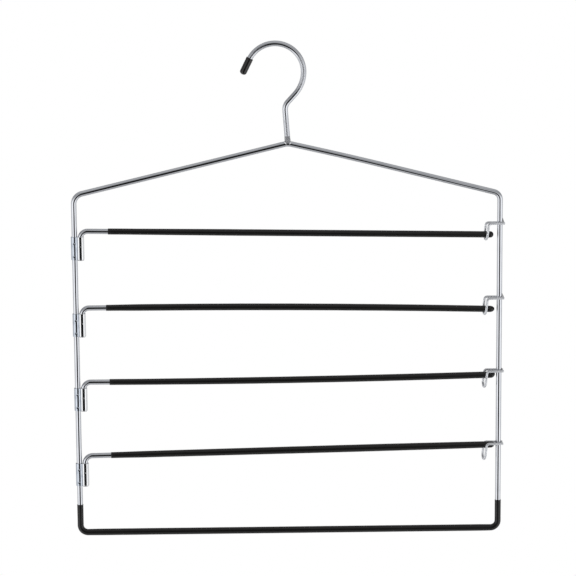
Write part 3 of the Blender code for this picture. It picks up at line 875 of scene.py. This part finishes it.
# %% [markdown]
# ## Plan of a hinge strip
# A strip is rolled round the side wire and round the pin, so its plan is two barrels that run into
# each other through a groove in front and a groove behind, all arcs that touch. Its two ends meet in
# the rear groove. The plan could be drawn by eye, but the barrels and the bend of the grooves already
# fix where the arcs touch, so it is worked out.

# %% Plan of a strip
STRIP = 0.6 * MM
SIDE_FIT, PIN_FIT = 0.12 * MM, 0.3 * MM
GROOVE_INSIDE = 0.9 * MM
SIDE_BARREL = LOOP_R + SIDE_FIT + STRIP / 2
PIN_BARREL = ARM_R + PIN_FIT + STRIP / 2
GROOVE = GROOVE_INSIDE + STRIP / 2
SEAM = 0.4 * MM
STRIP_EDGE = 0.12 * MM
PLAN_STEP = radians(5)
REACH = HINGES["arm_1"].x - LEFT_X


def strip_plan():
    """Middle line of the strip as (point, outward normal) pairs, from seam to seam."""
    side, pin = SIDE_BARREL + GROOVE, PIN_BARREL + GROOVE
    x = (REACH ** 2 + side ** 2 - pin ** 2) / (2 * REACH)
    y = sqrt(side ** 2 - x ** 2)
    to_side, to_pin = atan2(y, x), atan2(y, REACH - x)
    seam = SEAM / 2 / GROOVE
    arcs = [(x, y, GROOVE, 1.5 * pi - seam, pi + to_side, -1),
            (0, 0, SIDE_BARREL, to_side, 2 * pi - to_side, 1),
            (x, -y, GROOVE, pi - to_side, to_pin, -1),
            (REACH, 0, PIN_BARREL, to_pin - pi, pi - to_pin, 1),
            (x, y, GROOVE, 2 * pi - to_pin, 1.5 * pi + seam, -1)]
    plan = []
    for cx, cy, radius, start, end, outward in arcs:
        steps = max(2, ceil(abs(end - start) / PLAN_STEP))
        for k in range(1 if plan else 0, steps + 1):
            angle = start + (end - start) * k / steps
            normal = Vector((cos(angle), sin(angle), 0))
            plan.append((Vector((cx, cy, 0)) + normal * radius, normal * outward))
    return plan


def plan_lengths(plan):
    """How far along the strip each point of its plan lies."""
    lengths = [0.0]
    for (a, _), (b, _) in zip(plan, plan[1:]):
        lengths.append(lengths[-1] + (b - a).length)
    return lengths


def pin_barrel_span():
    """Where the pin's barrel starts and ends along the strip."""
    plan, pin = strip_plan(), Vector((REACH, 0, 0))
    round_pin = [s for (point, _), s in zip(plan, plan_lengths(plan))
                 if (point - pin).length < PIN_BARREL + STRIP_EDGE]
    return round_pin[0], round_pin[-1]


# Each strip's pin barrel gets a painted highlight
HINGE_STRIP = strip("hinge_strip", *pin_barrel_span())
print(f"rolled from {plan_lengths(strip_plan())[-1] / MM:.1f} mm of strip")

# %% [markdown]
# ## Staked hinge strips
# A press flattened the front of the pin's barrel a little, and a punch staked the strip: two marks fix
# it to the side wire, and one keeps the pin from rattling. A bump in the material would not show at the
# edges, so the marks are dents in the mesh. The plan is swept down in rows, closer together where a
# mark dents the wall.

# %% Hinge strips
STRIP_HEIGHT = 19.9 * MM
DENT_R = 1.0 * MM
DENT_DEPTH = 0.30 * MM
FLAT_DEPTH = 0.20 * MM
# Across from the side wire and down from the top
DENTS = [(REACH, 8.5 * MM), (0, 5.8 * MM), (0, 17.1 * MM)]
DENT_ROWS, DENT_MARGIN = 6, 1.15
PLAIN_ROWS = 11


def strip_rows():
    """Heights below the top edge, each with how far the rounded edge draws the wall in."""
    rows = {}
    for k in range(EDGE_STEPS + 1):
        t = pi / 2 * k / EDGE_STEPS
        inset = STRIP_EDGE * (1 - sin(t))
        depth = STRIP_EDGE * (1 - cos(t))
        rows[depth] = inset
        rows[STRIP_HEIGHT - depth] = inset
    for down in (x for _, x in DENTS):
        for k in range(-DENT_ROWS, DENT_ROWS + 1):
            rows[down + DENT_R * DENT_MARGIN * k / DENT_ROWS] = 0.0
    for k in range(1, PLAIN_ROWS):
        rows[STRIP_HEIGHT * k / PLAIN_ROWS] = 0.0
    return sorted(rows.items())


def dent(x, y, down):
    """How deep the press or the punch went here, on the front of the strip."""
    if y > 0:
        return 0.0
    deepest = max(0.0, -y - PIN_BARREL + FLAT_DEPTH) if abs(x - REACH) < PIN_BARREL / 2 else 0.0
    for across, depth in DENTS:
        away = sqrt((x - across) ** 2 + (down - depth) ** 2) / DENT_R
        deepest = max(deepest, DENT_DEPTH * (1 - away ** 2) if away < 1 else 0.0)
    return deepest


def make_strip(tier):
    corner = Vector((LEFT_X, 0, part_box(f"hinge_bracket_{tier}")[1].z))
    plan, rows = strip_plan(), strip_rows()
    points, grain = [], []
    for face in (1, -1):
        for down, inset in rows:
            for (point, normal), along in zip(plan, plan_lengths(plan)):
                wall = face * (STRIP / 2 - inset)
                pressed = dent(point.x, point.y, down) if face > 0 else 0.0
                points.append(corner + point + normal * (wall - pressed) - UP * down)
                grain.append((down, along, face * STRIP))
    columns, count = len(plan), len(plan) * len(rows)
    faces = []
    for row in range(len(rows) - 1):
        for k in range(columns - 1):
            a = row * columns + k
            quad = [a, a + 1, a + 1 + columns, a + columns]
            faces.append(quad)
            faces.append([count + v for v in reversed(quad)])
        for k in (0, columns - 1):
            a = row * columns + k
            quad = [a, a + columns, count + a + columns, count + a]
            faces.append(quad if k == 0 else quad[::-1])
    for k in range(columns - 1):
        for row in (0, len(rows) - 1):
            a = row * columns + k
            quad = [a, count + a, count + a + 1, a + 1]
            faces.append(quad if row == 0 else quad[::-1])
    piece = mesh_object(f"hinge_strip_{tier}", points, faces, grain, HINGE_STRIP)
    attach(piece, "frame")
    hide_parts(f"hinge_bracket_{tier}")
    return len(points)


print("hinge strips of", [make_strip(tier) for tier in TIERS], "points")

# %% [markdown]
# ## The rests
# A stirrup of thin wire catches the end of each arm. Its two strands lie astride the right side wire,
# its legs go down in front of and behind the arm, and its floor passes under it. The front leg stands a
# little nearer the side wire. The route goes from one cut end round to the other.

# %% Rest stirrups
REST_R = 1.05 * MM
REST_DEPTH = 13.0 * MM
REST_REACHES = {1: 10.6 * MM, 2: 11.3 * MM, 3: 11.2 * MM, 4: 11.1 * MM}
REST_TILTS = {1: 0.4 * MM, 2: 0, 3: 0, 4: 0}
REST_TAIL = 4.0 * MM
REST_BEND = 2.4 * MM
REST_SKEW = 1.7 * MM
REST_LEAN = radians(6.5)
REST_FLAT = 0.1 * MM
REST_SIDES = 24
WELD_GAP, LEG_ROOM = 0.25 * MM, 0.42 * MM
STRAND_Y = LOOP_R + WELD_GAP + REST_R
LEG_Y = ARM_COVER_R + LEG_ROOM + REST_R


def rest_height(tier):
    """Height of the middle of a rest's front strand. The rear one may lie lower."""
    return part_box(f"rest_stirrup_{tier}")[1].z - REST_R


def make_rest(tier):
    reach = REST_REACHES[tier]
    flare = (LEG_Y - STRAND_Y) / reach
    drop = REST_DEPTH + REST_R
    halves = []
    for face, skew, tilt in ((-1, REST_SKEW / 2, 0), (1, -REST_SKEW / 2, REST_TILTS[tier])):
        z = rest_height(tier) - tilt
        leg = RIGHT_X - reach + skew
        end = Vector((RIGHT_X + REST_TAIL, face * (STRAND_Y - flare * REST_TAIL), z))
        corner = Vector((leg, face * LEG_Y, z))
        low = Vector((leg - drop * tan(REST_LEAN), face * LEG_Y, rest_height(tier) - drop))
        halves.append([end, corner, low])
    front, rear = halves
    floor = (front[2] - rear[2]).length / 2 - REST_FLAT
    route = bent(front + rear[::-1], [0, REST_BEND, floor, floor, REST_BEND, 0])
    length = Line(route, UP).length
    piece = skin(f"stirrup_{tier}", route, rounded(0, length, REST_R, CUT_EDGE), REST_CHROME,
                 side=UP, sides=REST_SIDES)
    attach(piece, "frame")
    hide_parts(f"rest_stirrup_{tier}")
    return length


print("stirrups of", [round(make_rest(tier) / MM, 1) for tier in TIERS], "mm of wire")

# %% [markdown]
# ## Weld metal
# Resistance welding squeezes a little metal out between two wires. It could be sculpted on the wires
# themselves. Here each weld is a short lumpy sweep of its own, sunk into both wires, so that they keep
# their clean bends and their own finish.

# %% Weld beads
BEAD_SIDES = 16
# Nearly upright, so that no route of a weld lies along it
BEAD_SIDE = UP + ACROSS * 0.01
BEAD_LUMPS, BEAD_LUMP_SIZE = 0.10 * MM, 0.6 * MM


def lumpy(seed, amount):
    """Shape that moves the skin of a bead in and out by smooth noise."""
    def shape(s, spoke, radius, point):
        bump = noise.noise(point / BEAD_LUMP_SIZE + Vector((seed, 0, 0)))
        return point + spoke * (amount * bump) if radius > 0 else point
    return shape


def bead(name, route, radii, seed, amount=BEAD_LUMPS, finish=WELD_METAL):
    """A tapering lump: radii are given at even steps along the route, and its ends are points."""
    length = Line(route, BEAD_SIDE).length
    steps = len(radii) - 1
    profile = [(length * k / steps, r) for k, r in enumerate(radii)]
    piece = skin(name, route, [(0, 0)] + profile[1:-1] + [(length, 0)], finish,
                 side=BEAD_SIDE, sides=BEAD_SIDES, shape=lumpy(seed, amount))
    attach(piece, "frame")


print("weld beads have", BEAD_SIDES, "sides")

# %% [markdown]
# ## Welds at the rests
# At each rest the squeezed metal shows as a lump in front of and behind the side wire, where a strand
# lies on it, and as a fin that ran up beside it. No fin was trimmed, so each has its own height.

# %% Welds at the rests
# Radii and places are in millimetres. A fin's places are across and back from the side wire, and up
# in shares of its height
LUMP_RADII = (0, 0.40, 0.65, 0.8, 0.85, 0.8, 0.65, 0.40, 0)
LUMP_PLACES = (-2.0, -1.0, 0, 1.0, 2.0)
LUMP_PROUD, LUMP_LOW = 0.05 * MM, 0.1 * MM
LUMP_SEED, FIN_SEED = 3, 5.1
FIN_RADII = (0, 0.30, 0.45, 0.6, 0.7, 0.8, 0.85, 0.6, 0)
FIN_PLACES = ((2.1, -0.9, 1.0), (2.4, -1.1, 0.66), (2.75, -1.3, 0.33), (3.0, -1.6, 0.0),
              (3.0, -1.9, -0.2))
FIN_HEIGHTS = {1: 5.2 * MM, 2: 4.4 * MM, 3: 2.8 * MM, 4: 2.6 * MM}


def rest_welds(tier):
    """Lumps where the two strands lie on the side wire, and a fin beside it."""
    for face, word, tilt in ((-1, "front", 0), (1, "rear", REST_TILTS[tier])):
        y = face * (LOOP_R + LUMP_PROUD)
        z = rest_height(tier) - tilt - LUMP_LOW
        route = [Vector((RIGHT_X + x * MM, y, z)) for x in LUMP_PLACES]
        bead(f"rest_weld_{tier}_{word}", route, [r * MM for r in LUMP_RADII], tier * LUMP_SEED + face)
    foot = rest_height(tier) - REST_TILTS[tier]
    fin = [Vector((RIGHT_X + x * MM, y * MM, foot + share * FIN_HEIGHTS[tier]))
           for x, y, share in FIN_PLACES]
    # The fin's paler colour is a painted highlight
    bead(f"rest_fin_{tier}", fin, [r * MM for r in FIN_RADII], tier * FIN_SEED, finish=FIN_METAL_PAINTED_LIGHT)


for number in TIERS:
    rest_welds(number)
print("welds at the rests:", 3 * len(TIERS))

# %% [markdown]
# ## Welds at the hook's foot
# The foot and the loop meet along a V. Beads lie on both sides of it, in front and behind, painted
# bright as a painted highlight. Their route follows the line where two round wires of this size
# cross, a little below the surface, and falls away from the peak as the loop does.

# %% Welds at the hook
SLOPE = 0.24
SEAM_R = 2.75 * MM
SEAM_FROM, SEAM_RUN = 1.2, 2.0      # in millimetres from the peak
SEAM_STEPS = 8
SEAM_SUNK = 0.3 * MM
BEAD_R, BEAD_ROUND = 0.80 * MM, 0.6
BEAD_STEPS = 10
SEAM_SEED = 11
SEAM_LUMPS = 0.03 * MM


def hook_weld(hand, face, words):
    """Smooth bead along one side of the V where the foot enters the loop."""
    route = []
    for k in range(SEAM_STEPS + 1):
        x = (SEAM_FROM + SEAM_RUN * k / SEAM_STEPS) * MM
        y = min(sqrt(max(SEAM_R ** 2 - x ** 2, 0)), LOOP_R)
        rise = sqrt(LOOP_R ** 2 - y ** 2)
        route.append(PEAK + Vector((hand * x, face * y, rise - x * SLOPE - SEAM_SUNK)))
    radii = [BEAD_R * sin(pi * k / BEAD_STEPS) ** BEAD_ROUND for k in range(BEAD_STEPS + 1)]
    # The bead's bright colour is a painted highlight
    bead(f"hook_weld_{words}", route, radii, SEAM_SEED + face + hand, SEAM_LUMPS, BEAD_METAL_PAINTED_HIGHLIGHT)


for face, depth_word in ((-1, "front"), (1, "rear")):
    for hand, hand_word in ((-1, "left"), (1, "right")):
        hook_weld(hand, face, f"{depth_word}_{hand_word}")
print("beads of", BEAD_R / MM, "mm radius at the hook's foot")

# %% [markdown]
# ## The floor
# The photograph has a white ground and no shadow near the rack, because it hangs. A floor lies where a
# wardrobe's floor would be, well below, and fades out towards its rim, so that no edge shows.

# %% Floor
FLOOR_Z = -1.70
FLOOR_R = 1.8
FLOOR_SIDES = 96
FLOOR_PALE, FLOOR_WHITE = (0.93, 0.93, 0.93, 1), (0.96, 0.96, 0.96, 1)
FLOOR_CLOUDS = {"Scale": 1.5, "Detail": 3.0}
FLOOR_FADE = (0.6, 1.3)
FLOOR_ROUGH = 0.8


def stage_sheet(name, corners, material, place):
    """One flat face that belongs to the stage and not to the object."""
    mesh = bpy.data.meshes.new(name)
    mesh.from_pydata(corners, [], [list(range(len(corners)))])
    mesh.materials.append(material)
    sheet = bpy.data.objects.new(name, mesh)
    sheet.location = place
    bpy.context.scene.collection.objects.link(sheet)
    return sheet


def make_floor():
    material, shade, shader = surface("pale_floor")
    place = shade.node("ShaderNodeTexCoord", {}, {}, "Object")
    reach = shade.node("ShaderNodeVectorMath", {"operation": "LENGTH"}, {0: place}, "Value")
    clouds = shade.node("ShaderNodeTexNoise", {}, {"Vector": place, **FLOOR_CLOUDS})
    connect(shader, Base_Color=clouds.mix(FLOOR_PALE, FLOOR_WHITE), Roughness=FLOOR_ROUGH,
            Alpha=1 - reach.between(*FLOOR_FADE))
    angles = [2 * pi * k / FLOOR_SIDES for k in range(FLOOR_SIDES)]
    rim = [Vector((FLOOR_R * cos(a), FLOOR_R * sin(a), 0)) for a in angles]
    stage_sheet("floor", rim, material, (0, 0, FLOOR_Z))


make_floor()
print("floor", -FLOOR_Z, "m below the rail")

# %% [markdown]
# ## Dark boards
# Every level wire in the photograph carries a dark band and every upright one a dark line, and on the
# right slope the band thins out towards the shoulder. Something dark stood close in front, a little to
# the left. A pattern painted on the sky would look the same from every wire, so the board is a real
# one at arm's length. Only shiny surfaces see it, and its edges fade, as an unsharp reflection does. A
# second, thinner one stands behind, so that the chrome reads as chrome from the back as well.

# %% Dark boards
BOARD_AWAY = 0.8
BOARD_LEFT, BOARD_RIGHT = -0.335, 0.195
BOARD_FOOT, BOARD_TOP = -0.93, 0.345
LEFT_SOFT, RIGHT_SOFT, FOOT_SOFT, TOP_SOFT = 0.03, 0.13, 0.36, 0.205
BOARD_LEAN = 0.42
BOARD_HALF = 1.2
BOARD_DARK = (0.012, 0.012, 0.012, 1)
BOARD_PALE = (0.022, 0.022, 0.022, 1)
BOARD_ROUGH = 0.9
BOARD_FELT = {"Scale": 60.0, "Detail": 2.0}
FRONT_DENSITY, REAR_DENSITY = 1.0, 0.5


def fade(value, edge, soft):
    """From 0 to 1 across a soft edge."""
    return value.between(edge - soft, edge + soft)


def make_board(name, y, density):
    """A dark sheet with soft edges, hidden from the camera."""
    material, shade, shader = surface(name)
    place = shade.node("ShaderNodeTexCoord", {}, {}, "Object")
    x, z = (shade.node("ShaderNodeSeparateXYZ", {}, {0: place}, axis) for axis in "XZ")
    cover = (fade(x, BOARD_LEFT, LEFT_SOFT)
             * (1 - fade(x + BOARD_LEAN * z, BOARD_RIGHT, RIGHT_SOFT))
             * fade(z, BOARD_FOOT, FOOT_SOFT) * (1 - fade(z, BOARD_TOP, TOP_SOFT)))
    felt = shade.node("ShaderNodeTexNoise", {}, {"Vector": place, **BOARD_FELT})
    connect(shader, Base_Color=felt.mix(BOARD_DARK, BOARD_PALE), Roughness=BOARD_ROUGH,
            Specular_IOR_Level=0.0, Alpha=density * cover)
    corners = [(-BOARD_HALF, 0, FLOOR_Z), (BOARD_HALF, 0, FLOOR_Z), (BOARD_HALF, 0, BOARD_HALF),
               (-BOARD_HALF, 0, BOARD_HALF)]
    board = stage_sheet(name, corners, material, (0, y, 0))
    board.visible_camera = False
    board.visible_diffuse = False
    board.visible_shadow = False


make_board("dark_board_front", -BOARD_AWAY, FRONT_DENSITY)
make_board("dark_board_rear", BOARD_AWAY, REAR_DENSITY)
print("dark boards", BOARD_AWAY, "m in front and behind")

# %% [markdown]
# ## Room light
# Chrome shows its surroundings, so they decide the picture. Lamps alone would leave hard spots on it.
# Here the world is a pale room that only shiny surfaces see: walls with a brighter panel on each side,
# a greyer ceiling and grey ground. Rays from the camera see plain white, and all other rays an even
# light. One soft lamp, which is kept out of reflections, gives that light a direction.

# %% World and lamp
CEILING_EDGE, CEILING = 0.47, 0.60
WALLS = 0.86
GROUND = 0.56
PANELS = 1.75
ROOM_LIGHT = 0.62
# Bearings from straight in front, then heights, over which one part of the room passes into the next
PANEL_STARTS, PANEL_ENDS = (radians(27), radians(42)), (radians(55), radians(72))
GROUND_ENDS, CEILING_STARTS = (radians(-64), radians(-40)), (radians(-4), radians(24))
CEILING_PALES = (radians(30), radians(65))
LAMP_PLACE = Vector((-0.7, -1.3, 1.6))
LAMP_SIZE, LAMP_POWER = 1.6, 14


def make_world():
    world = bpy.data.worlds.new("white_room")
    world.use_nodes = True
    shade = Shade(world.node_tree)
    place = shade.node("ShaderNodeTexCoord", {}, {}, "Generated")
    x, y, z = (shade.node("ShaderNodeSeparateXYZ", {}, {0: place}, axis) for axis in "XYZ")
    bearing = shade.math("ABSOLUTE", shade.math("ARCTAN2", x, -1 * y))
    height = shade.math("ARCSINE", z)
    panel = bearing.between(*PANEL_STARTS) * (1 - bearing.between(*PANEL_ENDS))
    walls = WALLS + (PANELS - WALLS) * panel
    above = height.between(*CEILING_STARTS)
    below = 1 - height.between(*GROUND_ENDS)
    ceiling = CEILING_EDGE + (CEILING - CEILING_EDGE) * height.between(*CEILING_PALES)
    room = walls + above * (ceiling - walls)
    room = room + below * (GROUND - room)
    seen = shade.node("ShaderNodeLightPath", {}, {}, "Is Camera Ray")
    glossy = shade.node("ShaderNodeLightPath", {}, {}, "Is Glossy Ray")
    level = glossy * room + (1 - glossy) * ROOM_LIGHT
    background = world.node_tree.nodes["Background"]
    connect(background, Color=seen + (1 - seen) * level)
    bpy.context.scene.world = world


def soft_lamp(name, place, size, power):
    light = bpy.data.lights.new(name, "AREA")
    light.shape = "SQUARE"
    light.size = size
    light.energy = power
    lamp = bpy.data.objects.new(name, light)
    lamp.location = place
    lamp.rotation_euler = (AIM - lamp.location).to_track_quat("-Z", "Y").to_euler()
    lamp.visible_glossy = False
    bpy.context.scene.collection.objects.link(lamp)


make_world()
soft_lamp("high_softbox", LAMP_PLACE, LAMP_SIZE, LAMP_POWER)
bpy.context.scene.view_settings.view_transform = "Standard"
print("white room with one soft lamp")
